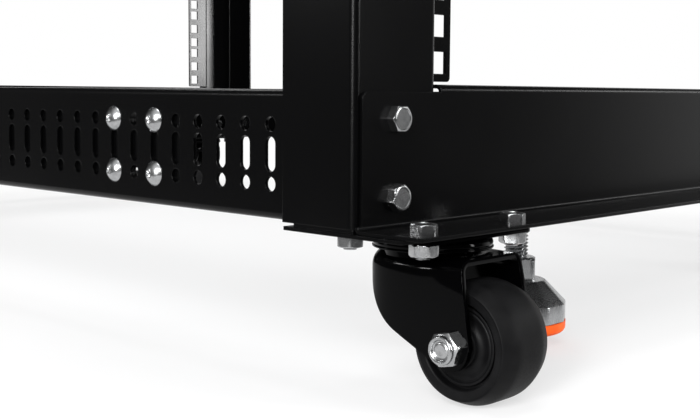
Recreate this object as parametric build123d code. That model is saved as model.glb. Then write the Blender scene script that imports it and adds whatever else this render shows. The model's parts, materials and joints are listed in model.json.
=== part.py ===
from build123d import *
import math
import os

os.makedirs("parts", exist_ok=True)

# Origin at the middle of the floor under the rack. X runs along the cross beams, Y from front to
# rear, Z up, in millimetres. Each corner is drawn once, at the front left, and mirrored.
# At the front left corner "in" counts from the outer side face of the post towards the middle,
# and "back" counts from the front face of the post towards the rear.

# Frame
rack_depth = 790.0          # over the outer faces of the front and rear posts
rack_units = 15
unit_height = 44.45
sheet = 1.6                 # sheet steel of posts, beams and rails
bend = 1.4                  # inside radius of their folds
past = 1.0                  # how far a cut runs past the face that it opens

# Post
post_side = 40.0            # depth of the side face
post_face = 49.0            # width of the front face
post_end_tab = 34.0         # how far back the plate across the post's end reaches
eia_setback = 14.0          # equipment flange behind the front face
eia_opening = 450.0         # clear width between the equipment flanges
eia_flange = 26.0           # width of each equipment flange
eia_hole = 9.5
eia_hole_inset = 7.55       # hole's middle from the flange's edge
eia_first_hole = 6.35       # from a unit's lower edge to its first hole
eia_hole_step = 15.875      # between a unit's holes
eia_end_margin = 1.85       # flange past the first and last unit
eia_corner = 2.0
post_past_bay = 59.65       # post past the first and last unit

# Base plate and cross beams
base_plate = 1.6
base_front = 9.0            # base plate's front edge behind the beam flange's edge
base_in = 82.0
base_back = 39.3
base_arm_in = 168.0         # its arm behind the beam, which carries the levelling foot
beam_end_gap = 0.7          # beam's end inside the post's side face
beam_web_end = 3.2
beam_corner = 3.0
beam_height = 58.1
beam_ledge = 34.3           # outward flange at the bottom, from the post's front face
beam_lip = 20.0             # inward flange
beam_notch_past = 1.5       # lip cut away at each end, past the post's face
beam_notch_drop = 3.0
beam_bolt_low = 11.5        # lower beam bolt above the post's end
beam_bolt_pitch = 31.2
beam_bolt_off = 1.9         # beam bolts outside the middle of the post's face

# Side rails, two nested channels
rail_height = 53.8
rail_flange = 25.0
rail_lift = 0.3             # rail above the post's end
rail_front = 3.0            # rail's end behind the post's front face
rail_flange_start = 43.0
rail_nest_gap = 0.2
rail_overlap_start = 105.0  # where the inner channel starts
column_first = 49.1         # first column of holes behind the post's front face
column_pitch = 15.875
column_end_margin = 12.0
slot_width = 6.0
slot_length = 14.6
rail_hole = 6.2
rail_hole_pitch = 24.8
rail_screw_columns = (6, 8)
inner_hole_columns = (6, 7, 8)
packer_length = 37.0
packer_height = 36.0

# Fasteners
bolt = 6.0
bolt_hole = 6.6
bolt_flats = 10.0
bolt_head = 4.0
bolt_nut = 5.0
bolt_tip = 1.0              # bolt past its nut
screw_head = 11.6
screw_head_height = 3.6
recess_width = 1.1
recess_length = 5.0
recess_depth = 1.6

# Caster
wheel_diameter = 50.0
wheel_width = 28.0
wheel_shoulder = 4.0
wheel_rim = 18.0            # inner radius of the wheel's side ring
wheel_groove = 15.8
wheel_groove_depth = 3.5
wheel_disc_depth = 1.7
wheel_hub = 9.0
wheel_clearance = 2.7       # over the wheel, to the fork
caster_plate = 1.6
caster_plate_length = 69.0
caster_plate_width = 54.0
caster_plate_corner = 5.0
caster_in = 47.2            # kingpin
caster_back = -0.6
caster_bolts_in = 58.0
caster_bolts_back = 39.0
caster_trail = 25.6
race = 50.5
race_neck = 40.0
race_neck_height = 2.0
race_height = 5.3
race_gap = 0.3
crown = 46.0
crown_height = 5.4
kingpin = 8.0
kingpin_head = 13.0
kingpin_head_height = 1.7
pin_play = 0.05
fork_sheet = 2.5
fork_width = 36.4
fork_bend = 4.0
fork_front = 30.5
fork_back_radius = 26.5
fork_back_in = 8.0
fork_back_level = 50.0
fork_boss = 10.0
hub_gap = 0.3
axle = 8.0
axle_flats = 13.0
axle_head = 5.3
axle_nut = 6.2
axle_collar = 11.6
axle_collar_height = 2.0
axle_end_inset = 0.6

# Levelling foot
stud = 12.0
stud_in = 144.2
stud_back = 26.1
stud_play = 0.05
stud_hole_play = 0.4        # in the base plate
stud_past_nut = 20.6        # stud past the welded nut
weld_nut_flats = 19.0
weld_nut = 10.0
foot_flats = 18.0
foot_hex = 11.1
foot_sides = 12
foot_neck = 30.2            # width of the top of the cone
foot_width = 50.8
foot_cone = 10.9
foot_skirt = 8.8
pad_height = 5.8
pad_width = 50.0
pad_round = 3.0
pad_level = 7.1             # underside of the pad above the floor

# Widths and levels that follow
rack_width = eia_opening + 2 * (eia_flange + post_face)
beam_bolt_in = post_face / 2 - beam_bolt_off
beam_notch = post_face + beam_notch_past
caster_plate_under = (
    wheel_diameter + wheel_clearance + fork_sheet + crown_height + race_gap + race_height
)
caster_height = caster_plate_under + caster_plate
deck = caster_height + base_plate
post_bottom = deck + sheet
units_bottom = post_bottom + post_past_bay
units_top = units_bottom + rack_units * unit_height
middle_level = (units_bottom + units_top) / 2
post_top = 2 * middle_level - post_bottom
flange_bottom = units_bottom - eia_end_margin
flange_top = units_top + eia_end_margin
beam_top = deck + beam_height
race_under = caster_plate_under - race_height
crown_top = race_under - race_gap
fork_top = crown_top - crown_height
fork_under = fork_top - fork_sheet
axle_level = wheel_diameter / 2
stud_top = deck + weld_nut + stud_past_nut
overall_height = 2 * middle_level - deck


# The X of a place counted inwards, and the Y of one counted back, at the front left corner.
def at_in(distance):
    return distance - rack_width / 2


def at_back(distance):
    return distance - rack_depth / 2


def block(x0, x1, y0, y1, z0, z1):
    middle = Pos((x0 + x1) / 2, (y0 + y1) / 2, (z0 + z1) / 2)
    return middle * Box(x1 - x0, y1 - y0, z1 - z0)


# A flat bar folded at right angles: the outline of a sheet that follows points, with its
# thickness on the left of the way they run.
def folded(points, thickness, inside):
    line = [Vector(*point) for point in points]
    ways = [(b - a).normalized() for a, b in zip(line, line[1:])]
    lefts = [Vector(-way.Y, way.X) * thickness for way in ways]
    turns = [a.cross(b).Z for a, b in zip(ways, ways[1:])]
    near = [inside + thickness if turn > 0 else inside for turn in turns]
    far = [inside if turn > 0 else inside + thickness for turn in turns]
    corners = [line[i + 1] + lefts[i] + lefts[i + 1] for i in range(len(turns))]
    other = [line[0] + lefts[0]] + corners + [line[-1] + lefts[-1]]
    one_side = FilletPolyline(*line, radius=near)
    other_side = FilletPolyline(*other, radius=far)
    ends = [Line(one_side @ 0, other_side @ 0), Line(one_side @ 1, other_side @ 1)]
    return make_face(one_side.edges() + other_side.edges() + ends)


# A section in the XY plane carried up Z, one in Y and Z carried along X, and one in X and Z
# carried along Y.
def carried_up(section, low, high):
    return Pos(0, 0, low) * extrude(section, high - low, dir=(0, 0, 1))


def carried_across(section, low, high):
    plane = Plane(origin=(low, 0, 0), x_dir=(0, 1, 0), z_dir=(1, 0, 0))
    return extrude(plane * section, high - low, dir=(1, 0, 0))


def carried_back(section, low, high):
    plane = Plane(origin=(0, low, 0), x_dir=(1, 0, 0), z_dir=(0, -1, 0))
    return extrude(plane * section, high - low, dir=(0, 1, 0))


def hexagon(flats):
    return RegularPolygon(flats / 2, 6, major_radius=False)


def upright_rod(radius, low, high):
    return Pos(0, 0, low) * Cylinder(radius, high - low, align=(Align.CENTER, Align.CENTER, Align.MIN))


# A bolt that stands on z = 0 with its shank down, its nut under the grip.
def bolt_and_nut(grip):
    end = grip + bolt_nut + bolt_tip
    head = extrude(hexagon(bolt_flats), bolt_head)
    head = head & upright_rod(bolt_flats * 0.54, 0, bolt_head)
    nut = Pos(0, 0, -grip - bolt_nut) * extrude(hexagon(bolt_flats), bolt_nut)
    return head + nut + upright_rod(bolt / 2, -end, 0)


# A round-headed cross-recess screw that stands on z = 0, its nut under the grip.
def screw_and_nut(grip):
    end = grip + bolt_nut + bolt_tip
    dome_radius = (screw_head ** 2 / 4 + screw_head_height ** 2) / (2 * screw_head_height)
    dome = Pos(0, 0, screw_head_height - dome_radius) * Sphere(dome_radius)
    head = dome & upright_rod(screw_head / 2, 0, screw_head_height)
    recess_floor = screw_head_height - recess_depth
    for length, width in ((recess_length, recess_width), (recess_width, recess_length)):
        head -= block(-length / 2, length / 2, -width / 2, width / 2, recess_floor, screw_head_height)
    nut = Pos(0, 0, -grip - bolt_nut) * extrude(hexagon(bolt_flats), bolt_nut)
    return head + nut + upright_rod(bolt / 2, -end, 0)


def hole_levels(levels, radius, x, y0, y1):
    return [Pos(x, (y0 + y1) / 2, z) * Rot(90, 0, 0) * Cylinder(radius, y1 - y0) for z in levels]


def flip_left_right(shape):
    return mirror(shape, Plane.YZ)


def flip_front_rear(shape):
    return mirror(shape, Plane.XZ)


def flip_top_bottom(shape):
    return mirror(shape, Plane.XY.offset(middle_level))


def at_corner(shape, side, end):
    if side == "right":
        shape = flip_left_right(shape)
    if end == "rear":
        shape = flip_front_rear(shape)
    return shape


sides = ("left", "right")
ends = ("front", "rear")
corners = [(side, end) for end in ends for side in sides]
beam_bolt_levels = (post_bottom + beam_bolt_low, post_bottom + beam_bolt_low + beam_bolt_pitch)
beam_bolt_levels_top = tuple(2 * middle_level - level for level in beam_bolt_levels)
caster_bolt_ins = (caster_in - caster_bolts_in / 2, caster_in + caster_bolts_in / 2)
caster_bolt_backs = (caster_back - caster_bolts_back / 2, caster_back + caster_bolts_back / 2)


def caster_bolt_holes(low, high):
    return [
        Pos(at_in(inward), at_back(back), 0) * upright_rod(bolt_hole / 2, low, high)
        for inward in caster_bolt_ins
        for back in caster_bolt_backs
    ]


def to_kingpin(shape):
    return Pos(at_in(caster_in), at_back(caster_back), 0) * shape


def to_stud(shape):
    return Pos(at_in(stud_in), at_back(stud_back), 0) * shape


# Post: one folded sheet with an equipment flange of three square holes to a unit, a plate across
# each end, and a base plate whose arm carries the levelling foot in a welded nut.
def make_post():
    flange_edge = post_face + eia_flange
    section = folded(
        [
            (at_in(0), at_back(post_side)),
            (at_in(0), at_back(0)),
            (at_in(post_face), at_back(0)),
            (at_in(post_face), at_back(eia_setback)),
            (at_in(flange_edge), at_back(eia_setback)),
        ],
        sheet,
        bend,
    )
    post = carried_up(section, post_bottom, post_top)
    corner_edges = []
    for low, high in ((post_bottom, flange_bottom), (flange_top, post_top)):
        cut_back = (at_back(eia_setback - past), at_back(eia_setback + sheet + past))
        post -= block(at_in(post_face), at_in(flange_edge + past), *cut_back, low, high)
    for edge in post.edges().filter_by(Axis.Y):
        middle = edge.center()
        if abs(middle.X - at_in(flange_edge)) < 0.01:
            corner_edges.append(edge)
    post = fillet(corner_edges, eia_corner)
    hole_x = -eia_opening / 2 - eia_hole_inset
    holes = []
    for unit in range(rack_units):
        for step in range(3):
            level = units_bottom + unit * unit_height + eia_first_hole + step * eia_hole_step
            hole = Box(eia_hole, sheet + 2 * past, eia_hole)
            holes.append(Pos(hole_x, at_back(eia_setback + sheet / 2), level) * hole)
    post -= holes
    tab_inset = bend / 2
    tab = block(
        at_in(tab_inset), at_in(post_face - tab_inset), at_back(tab_inset), at_back(post_end_tab),
        deck, post_bottom,
    )
    post += tab
    post += flip_top_bottom(tab)
    base = block(
        at_in(0), at_in(base_in), at_back(base_front - beam_ledge), at_back(base_back),
        caster_height, deck,
    )
    post += base
    post += block(at_in(0), at_in(base_arm_in), at_back(0), at_back(base_back), caster_height, deck)
    post += to_stud(Pos(0, 0, deck) * extrude(hexagon(weld_nut_flats), weld_nut))
    post -= to_stud(upright_rod(stud / 2 + stud_hole_play, caster_height - past, deck))
    post -= to_stud(upright_rod(stud / 2 + stud_play, deck - past, deck + weld_nut + past))
    post -= caster_bolt_holes(caster_height - past, post_bottom + past)
    bolt_levels = beam_bolt_levels + beam_bolt_levels_top
    face = (at_back(-past), at_back(sheet + past))
    post -= hole_levels(bolt_levels, bolt_hole / 2, at_in(beam_bolt_in), *face)
    return post


# Cross beam at the bottom: a lip inwards along the top, a web in front of the posts and a ledge
# outwards that lies on the base plates. The lip is notched at both ends to pass the posts.
def make_bottom_beam():
    section = folded(
        [
            (at_back(beam_lip), beam_top),
            (at_back(-sheet), beam_top),
            (at_back(-sheet), post_bottom),
            (at_back(-beam_ledge), post_bottom),
        ],
        sheet,
        bend,
    )
    beam = carried_across(section, at_in(beam_end_gap), 0)
    beam -= block(
        at_in(0), at_in(beam_web_end), at_back(-sheet - past), at_back(beam_lip + past),
        post_bottom + bend, beam_top + past,
    )
    notch_top = beam_top - beam_notch_drop
    notch = block(
        at_in(0), at_in(beam_notch), at_back(-sheet - past), at_back(beam_lip + past),
        notch_top, beam_top + past,
    )
    beam -= notch
    web_corner = [
        edge
        for edge in beam.edges().filter_by(Axis.Y)
        if abs(edge.center().X - at_in(beam_web_end)) < 0.01 and abs(edge.center().Z - notch_top) < 0.01
    ]
    beam = fillet(web_corner, beam_corner)
    beam -= caster_bolt_holes(deck - past, post_bottom + past)
    beam -= hole_levels(
        beam_bolt_levels, bolt_hole / 2, at_in(beam_bolt_in), at_back(-sheet - past), at_back(past)
    )
    return beam + flip_left_right(beam)


# Cross beam at the top: a channel with both lips inwards, notched past the posts.
def make_top_beam():
    low = 2 * middle_level - beam_top
    high = overall_height
    section = folded(
        [
            (at_back(beam_lip), high),
            (at_back(-sheet), high),
            (at_back(-sheet), low),
            (at_back(beam_lip), low),
        ],
        sheet,
        bend,
    )
    beam = carried_across(section, at_in(beam_web_end), 0)
    for level, other in ((low - past, low + beam_notch_drop), (high - beam_notch_drop, high + past)):
        beam -= block(
            at_in(0), at_in(beam_notch), at_back(-sheet - past), at_back(beam_lip + past), level, other
        )
    corner_edges = [
        edge
        for edge in beam.edges().filter_by(Axis.Y)
        if abs(edge.center().X - at_in(beam_web_end)) < 0.01
    ]
    beam = fillet(corner_edges, beam_corner)
    beam -= hole_levels(
        beam_bolt_levels_top, bolt_hole / 2, at_in(beam_bolt_in), at_back(-sheet - past), at_back(past)
    )
    return beam + flip_left_right(beam)


# Side rail, outer half: a channel welded inside the front post, with a column of one slot and two
# round holes at every pitch.
rail_low = post_bottom + rail_lift
rail_high = rail_low + rail_height
rail_level = (rail_low + rail_high) / 2
rail_outer_length = rack_depth - rail_overlap_start
column_room = rail_outer_length - column_first - column_end_margin
column_count = int(column_room / column_pitch) + 1
rail_hole_levels = (rail_level - rail_hole_pitch / 2, rail_level + rail_hole_pitch / 2)


def column_back(column):
    return column_first + (column - 1) * column_pitch


rear_columns = tuple(column_count + 1 - column for column in rail_screw_columns)
rear_hole_columns = tuple(column_count + 1 - column for column in inner_hole_columns)


def rail_section(outer_in, low, high, flange):
    return folded(
        [
            (at_in(outer_in + flange), high),
            (at_in(outer_in), high),
            (at_in(outer_in), low),
            (at_in(outer_in + flange), low),
        ],
        sheet,
        bend,
    )


def make_outer_rail():
    section = rail_section(sheet, rail_low, rail_high, rail_flange)
    rail = carried_back(section, at_back(rail_front), at_back(rail_outer_length))
    rail -= block(
        at_in(2 * sheet), at_in(sheet + rail_flange + past), at_back(0), at_back(rail_flange_start),
        rail_low - past, rail_high + past,
    )
    plane = Plane(origin=(at_in(0), 0, 0), x_dir=(0, 1, 0), z_dir=(1, 0, 0))
    holes = Sketch()
    for column in range(1, column_count + 1):
        y = at_back(column_back(column))
        holes += Pos(y, rail_level) * Rot(0, 0, 90) * SlotOverall(slot_length, slot_width)
        for level in rail_hole_levels:
            holes += Pos(y, level) * Circle(rail_hole / 2)
    rail -= extrude(plane * holes, 3 * sheet, dir=(1, 0, 0))
    return rail


# Side rail, inner half: a plain channel nested in the outer one, packed out to the rear post.
def make_inner_rail():
    low = rail_low + sheet + rail_nest_gap
    high = rail_high - sheet - rail_nest_gap
    section = rail_section(2 * sheet, low, high, rail_flange - 2 * sheet)
    end = rack_depth - rail_front
    rail = carried_back(section, at_back(rail_overlap_start), at_back(end))
    rail -= block(
        at_in(3 * sheet), at_in(sheet + rail_flange), at_back(rack_depth - rail_flange_start),
        at_back(end + past), low - past, high + past,
    )
    rail += block(
        at_in(sheet), at_in(2 * sheet), at_back(end - packer_length), at_back(end),
        rail_level - packer_height / 2, rail_level + packer_height / 2,
    )
    holes = []
    for column in inner_hole_columns + rear_hole_columns:
        for level in rail_hole_levels:
            hole = Rot(0, 90, 0) * Cylinder(rail_hole / 2, 4 * sheet)
            holes.append(Pos(at_in(2.5 * sheet), at_back(column_back(column)), level) * hole)
    return rail - holes


def make_rail_screws():
    screw = Pos(at_in(sheet), 0, 0) * Rot(0, -90, 0) * screw_and_nut(2 * sheet)
    screws = []
    for column in rail_screw_columns + rear_columns:
        for level in rail_hole_levels:
            for height in (level, 2 * middle_level - level):
                screws.append(Pos(0, at_back(column_back(column)), height) * screw)
    return Compound(children=screws)


# Bolts of one corner, with their nuts.
def make_fasteners():
    pieces = []
    beam_bolt = Rot(90, 0, 0) * bolt_and_nut(2 * sheet)
    for level in beam_bolt_levels + beam_bolt_levels_top:
        pieces.append(Pos(at_in(beam_bolt_in), at_back(-sheet), level) * beam_bolt)
    for inward in caster_bolt_ins:
        for back in caster_bolt_backs:
            on_base = inward > post_face and back > 0
            seat = deck if on_base else post_bottom
            seated = bolt_and_nut(seat - caster_plate_under)
            pieces.append(Pos(at_in(inward), at_back(back), seat) * seated)
    return Compound(children=pieces)


# Caster's top plate with its upper race and kingpin.
def make_caster_plate():
    plate = extrude(
        RectangleRounded(caster_plate_length, caster_plate_width, caster_plate_corner), caster_plate
    )
    part = Pos(0, 0, caster_plate_under) * plate
    part += upright_rod(race_neck / 2, caster_plate_under - race_neck_height, caster_plate_under)
    part += upright_rod(race / 2, race_under, caster_plate_under - race_neck_height)
    pin_head_top = fork_under - race_gap
    part += upright_rod(kingpin / 2, pin_head_top, caster_plate_under)
    part += upright_rod(kingpin_head / 2, pin_head_top - kingpin_head_height, pin_head_top)
    for inward in (-caster_bolts_in / 2, caster_bolts_in / 2):
        for back in (-caster_bolts_back / 2, caster_bolts_back / 2):
            hole = upright_rod(bolt_hole / 2, caster_plate_under - past, caster_height + past)
            part -= Pos(inward, back, 0) * hole
    return to_kingpin(part)


# Fork: a crown over two legs. A leg's outline is a large round over the rear and a boss round the
# axle, with the straight tangents between them and a front edge that slants to the boss.
def make_fork():
    boss = Pos(-caster_trail, axle_level) * Circle(fork_boss)
    rear = Pos(-fork_back_in, fork_back_level) * Circle(fork_back_radius)
    outline = make_hull(boss.edges() + rear.edges())
    reach = fork_back_radius
    boss_front = caster_trail + fork_boss
    trim = Polygon(
        (-fork_front, fork_top), (reach, fork_top), (reach, axle_level - fork_boss),
        (-boss_front, axle_level - fork_boss), (-boss_front, axle_level), align=None,
    )
    legs = carried_across(outline & trim, -fork_width / 2, fork_width / 2)
    half = fork_width / 2
    low = axle_level - fork_boss - past
    bridge = folded(
        [(half, low), (half, fork_top), (-half, fork_top), (-half, low)], fork_sheet, fork_bend
    )
    fork = legs & carried_back(bridge, -boss_front - past, reach + past)
    fork += upright_rod(crown / 2, fork_top, crown_top)
    fork -= upright_rod(kingpin / 2 + pin_play, fork_under - past, crown_top + past)
    axle_bore = Rot(0, 90, 0) * Cylinder(axle / 2 + pin_play, fork_width + 2 * past)
    fork -= Pos(0, -caster_trail, axle_level) * axle_bore
    return to_kingpin(fork)


# Axle: head on the inner side, a locking nut with its collar on the outer side.
def make_axle():
    half = fork_width / 2
    nut_end = half + axle_nut + axle_collar_height
    body = upright_rod(axle / 2, -half, nut_end - axle_end_inset)
    body += Pos(0, 0, -half - axle_head) * extrude(hexagon(axle_flats), axle_head)
    nut = Pos(0, 0, half) * extrude(hexagon(axle_flats), axle_nut)
    nut += upright_rod(axle_collar / 2, half + axle_nut, nut_end)
    nut -= upright_rod(axle / 2, half, nut_end)
    body += nut
    turned = Rot(0, -90, 0) * Rot(0, 0, 15) * body
    return to_kingpin(Pos(0, -caster_trail, axle_level) * turned)


# Wheel: rounded tread, side rings, a groove, a disc and the hub, revolved about the axle.
def make_wheel():
    radius = wheel_diameter / 2
    half = wheel_width / 2
    hub_half = fork_width / 2 - fork_sheet - hub_gap
    bore = axle / 2 + pin_play + 0.01
    groove = half - wheel_groove_depth
    disc = half - wheel_disc_depth
    profile = Polygon(
        (0, bore), (hub_half, bore), (hub_half, wheel_hub), (disc, wheel_hub), (disc, wheel_groove),
        (groove, wheel_groove), (groove, wheel_rim), (half, wheel_rim), (half, radius), (0, radius),
        align=None,
    )
    shoulder = [v for v in profile.vertices() if abs(v.X - half) < 0.01 and abs(v.Y - radius) < 0.01]
    profile = fillet(shoulder, wheel_shoulder)
    right_half = revolve(profile, Axis.X)
    wheel = right_half + flip_left_right(right_half)
    return to_kingpin(Pos(0, -caster_trail, axle_level) * wheel)


# Levelling foot: its stud and hexagon over a many-sided cone and skirt, on a round pad.
foot_bottom = pad_level + pad_height
foot_shoulder = foot_bottom + foot_skirt
foot_plateau = foot_shoulder + foot_cone
foot_top = foot_plateau + foot_hex


def make_foot():
    wide = RegularPolygon(foot_width / 2, foot_sides)
    narrow = RegularPolygon(foot_neck / 2, foot_sides)
    cone = loft([Pos(0, 0, foot_shoulder) * wide, Pos(0, 0, foot_plateau) * narrow])
    foot = Pos(0, 0, foot_bottom) * extrude(wide, foot_skirt)
    foot += cone
    foot += Pos(0, 0, foot_plateau) * extrude(hexagon(foot_flats), foot_hex)
    foot += upright_rod(stud / 2, foot_top, stud_top)
    return to_stud(foot)


def make_pad():
    pad = upright_rod(pad_width / 2, pad_level, foot_bottom)
    pad = fillet(pad.edges().filter_by(GeomType.CIRCLE).sort_by(Axis.Z)[0], pad_round)
    return to_stud(pad)


def save(shape, name):
    shape.label = name
    export_step(shape, f"parts/{name}.step")


corner_parts = {
    "post": make_post(),
    "caster_plate": make_caster_plate(),
    "fork": make_fork(),
    "axle": make_axle(),
    "wheel": make_wheel(),
    "foot": make_foot(),
    "pad": make_pad(),
    "fasteners": make_fasteners(),
}
for name, shape in corner_parts.items():
    for side, end in corners:
        save(at_corner(shape, side, end), f"{name}_{end}_{side}")

beams = {"bottom": make_bottom_beam(), "top": make_top_beam()}
for level, beam in beams.items():
    save(beam, f"beam_front_{level}")
    save(flip_front_rear(beam), f"beam_rear_{level}")

rails = {"outer": make_outer_rail(), "inner": make_inner_rail()}
for half, rail in rails.items():
    for side in sides:
        low_rail = at_corner(rail, side, "front")
        save(low_rail, f"rail_{side}_bottom_{half}")
        save(flip_top_bottom(low_rail), f"rail_{side}_top_{half}")

screws = make_rail_screws()
save(screws, "rail_screws_left")
save(flip_left_right(screws), "rail_screws_right")
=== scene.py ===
import json
import math

import bmesh
import bpy
import numpy as np
from mathutils import Matrix, Vector


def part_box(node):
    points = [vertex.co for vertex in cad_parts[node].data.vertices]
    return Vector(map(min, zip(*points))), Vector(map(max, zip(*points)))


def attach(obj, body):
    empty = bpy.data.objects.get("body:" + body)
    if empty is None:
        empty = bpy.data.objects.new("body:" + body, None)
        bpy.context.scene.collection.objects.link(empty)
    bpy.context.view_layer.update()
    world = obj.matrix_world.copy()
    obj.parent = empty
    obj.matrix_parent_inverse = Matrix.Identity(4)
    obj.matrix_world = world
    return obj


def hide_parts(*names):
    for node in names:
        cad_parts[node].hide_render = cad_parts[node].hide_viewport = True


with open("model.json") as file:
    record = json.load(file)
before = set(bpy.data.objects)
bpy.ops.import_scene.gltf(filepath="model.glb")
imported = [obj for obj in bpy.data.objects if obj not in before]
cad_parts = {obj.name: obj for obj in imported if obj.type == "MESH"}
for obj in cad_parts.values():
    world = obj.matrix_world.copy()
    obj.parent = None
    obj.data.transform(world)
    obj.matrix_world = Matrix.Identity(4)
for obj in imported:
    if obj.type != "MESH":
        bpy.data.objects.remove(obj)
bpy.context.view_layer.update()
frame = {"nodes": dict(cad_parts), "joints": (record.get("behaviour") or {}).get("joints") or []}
print("frame loaded:", len(frame["nodes"]), "nodes")

corners = [(side, end) for end in ("front", "rear") for side in ("left", "right")]


# Camera: where it stands, which way it looks and the place of the lens axis in the 700 x 420 picture.
cameraSet = {
    "place": (-0.6064, -0.6883, 0.1242),
    "yaw": 47.62,           # degrees from +Y towards +X
    "pitch": -4.52,
    "roll": 0.52,
    "focalPixels": 1113.3,
    "axisPixel": (380, 180),
    "picture": (700, 420),
    "sensor": 36.0,
    "clip": (0.02, 200),
}


def makeCamera():
    # Ahead = (cos pitch sin yaw, cos pitch cos yaw, sin pitch), and right is level, turned about it by
    # the roll. Lens = focal pixels / picture's width x sensor; shift = axis pixel's offset / width.
    yaw, pitch, roll = (math.radians(cameraSet[key]) for key in ("yaw", "pitch", "roll"))
    wide, high = cameraSet["picture"]
    ahead = Vector((math.cos(pitch) * math.sin(yaw), math.cos(pitch) * math.cos(yaw), math.sin(pitch)))
    level = Vector((math.cos(yaw), -math.sin(yaw), 0))
    upright = level.cross(ahead)
    right = math.cos(roll) * level + math.sin(roll) * upright
    up = right.cross(ahead)
    lens = bpy.data.cameras.new("photoCamera")
    lens.sensor_width = cameraSet["sensor"]
    lens.lens = cameraSet["focalPixels"] / wide * cameraSet["sensor"]
    lens.shift_x = (wide / 2 - cameraSet["axisPixel"][0]) / wide
    lens.shift_y = (cameraSet["axisPixel"][1] - high / 2) / wide
    lens.clip_start, lens.clip_end = cameraSet["clip"]
    camera = bpy.data.objects.new("photoCamera", lens)
    turn = Matrix((right, up, -ahead)).transposed().to_4x4()
    camera.matrix_world = Matrix.Translation(cameraSet["place"]) @ turn
    bpy.context.scene.collection.objects.link(camera)
    bpy.context.scene.camera = camera


# Studio: white where the camera looks, with a white backdrop behind the rack that metal shows too.
# The rest of the surround is dark, with soft glows; strip lamps stand left and right of the rack.
studioSet = {
    "surround": 0.07,
    "backdrop": ((0.74, 0.67, 0.02), 0.80, 0.93),       # direction, cosine at its rim and where it is full
    "glows": (              # direction, cosine where it starts, cosine where it is full, strength
        ((0.990, -0.139, 0.05), 0.866, 0.9986, 1.1),
        ((-0.80, 0.60, 0.10), 0.60, 0.99, 0.12),
        ((-0.35, -0.30, 0.88), 0.50, 0.98, 0.8),
    ),
    "lamps": (              # place, aim, size, watts, spread in degrees
        ((-1.7, -1.5, 1.15), (-0.2, -0.35, 0.05), (1.0, 0.6), 32, 180),         # key, from the front left
        ((0.76, -2.09, 0.80), (-0.3, -0.4, 0.3), (0.20, 1.2), 20, 180),         # upright strip, right
        ((-2.15, -1.05, 0.80), (-0.3, -0.4, 0.3), (0.40, 1.2), 62, 180),        # upright strip, left
        ((1.48, -1.24, 0.80), (-0.1, -0.4, 0.12), (0.8, 0.22), 3.5, 180),       # level strip, to the beam
        ((-1.6, 1.0, 0.62), (-0.27, -0.40, 0.06), (0.24, 0.06), 3.4, 180),      # small, to the near fork
        ((0.81, -0.32, 0.25), (0.247, 0.381, 0.19), (0.14, 0.26), 1.0, 60),     # small, to the far post
        ((0.6, 1.6, 2.2), (-0.15, -0.2, 0.2), (1.6, 0.8), 24, 180),             # from behind
        ((-0.3, -0.4, 2.5), (-0.3, -0.4, 0.0), (1.0, 1.0), 22, 180),            # overhead
    ),
    "floorHalf": (0.54, 0.635),
    "floorColour": (0.66, 0.66, 0.665, 1),
    "floorLift": 0.62,                      # share of white that the floor shows under the rack
    "floorRise": (0.04, 0.22),              # distance from the rack where the share rises, and where it is 1
    "rackHalf": (0.30, 0.395),
}
plainWhite = (1, 1, 1, 1)


def link(tree, fromSocket, toSocket):           # a wire from one socket to the other
    tree.links.new(fromSocket, toSocket)


def addMath(tree, operation, first, second):    # one operation on two numbers or sockets
    node = tree.nodes.new("ShaderNodeMath")
    node.operation = operation
    for number, value in enumerate((first, second)):
        if isinstance(value, (int, float)):
            node.inputs[number].default_value = value
        else:
            link(tree, value, node.inputs[number])
    return node.outputs[0]


def addRange(tree, value, fromLow, fromHigh, toLow=0.0, toHigh=1.0, smooth=False):
    # Result = toLow + (toHigh - toLow) s, where s = (value - fromLow) / (fromHigh - fromLow) held to
    # 0 to 1, or 3 s^2 - 2 s^3 where it is smooth.
    ramp = tree.nodes.new("ShaderNodeMapRange")
    if smooth:
        ramp.interpolation_type = "SMOOTHSTEP"
    ends = {"From Min": fromLow, "From Max": fromHigh, "To Min": toLow, "To Max": toHigh}
    for name, number in ends.items():
        ramp.inputs[name].default_value = number
    link(tree, value, ramp.inputs["Value"])
    return ramp.outputs["Result"]


def addPatch(tree, view, direction, start, full, strength=1.0):
    # A round patch of the surround = strength x smooth step of the cosine to its direction.
    cosine = tree.nodes.new("ShaderNodeVectorMath")
    cosine.operation = "DOT_PRODUCT"
    cosine.inputs[1].default_value = Vector(direction).normalized()
    link(tree, view, cosine.inputs[0])
    return addRange(tree, cosine.outputs["Value"], start, full, 0.0, strength, True)


def addSeen(tree, mirrored=1.0):                # 1 for a camera ray, and mirrored for one by metal or glass
    path = tree.nodes.new("ShaderNodeLightPath")
    shown = addMath(tree, "MAXIMUM", path.outputs["Is Glossy Ray"], path.outputs["Is Transmission Ray"])
    shown = addMath(tree, "MULTIPLY", shown, mirrored)
    return addMath(tree, "MAXIMUM", path.outputs["Is Camera Ray"], shown)


def addSurface(tree, share, plain, lit, kind):  # surface = (1 - share) plain + share lit
    mix = tree.nodes.new("ShaderNodeMixShader")
    link(tree, share, mix.inputs["Fac"])
    link(tree, plain.outputs[0], mix.inputs[1])
    link(tree, lit.outputs[0], mix.inputs[2])
    output = tree.nodes.new(kind)
    link(tree, mix.outputs[0], output.inputs["Surface"])


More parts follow.
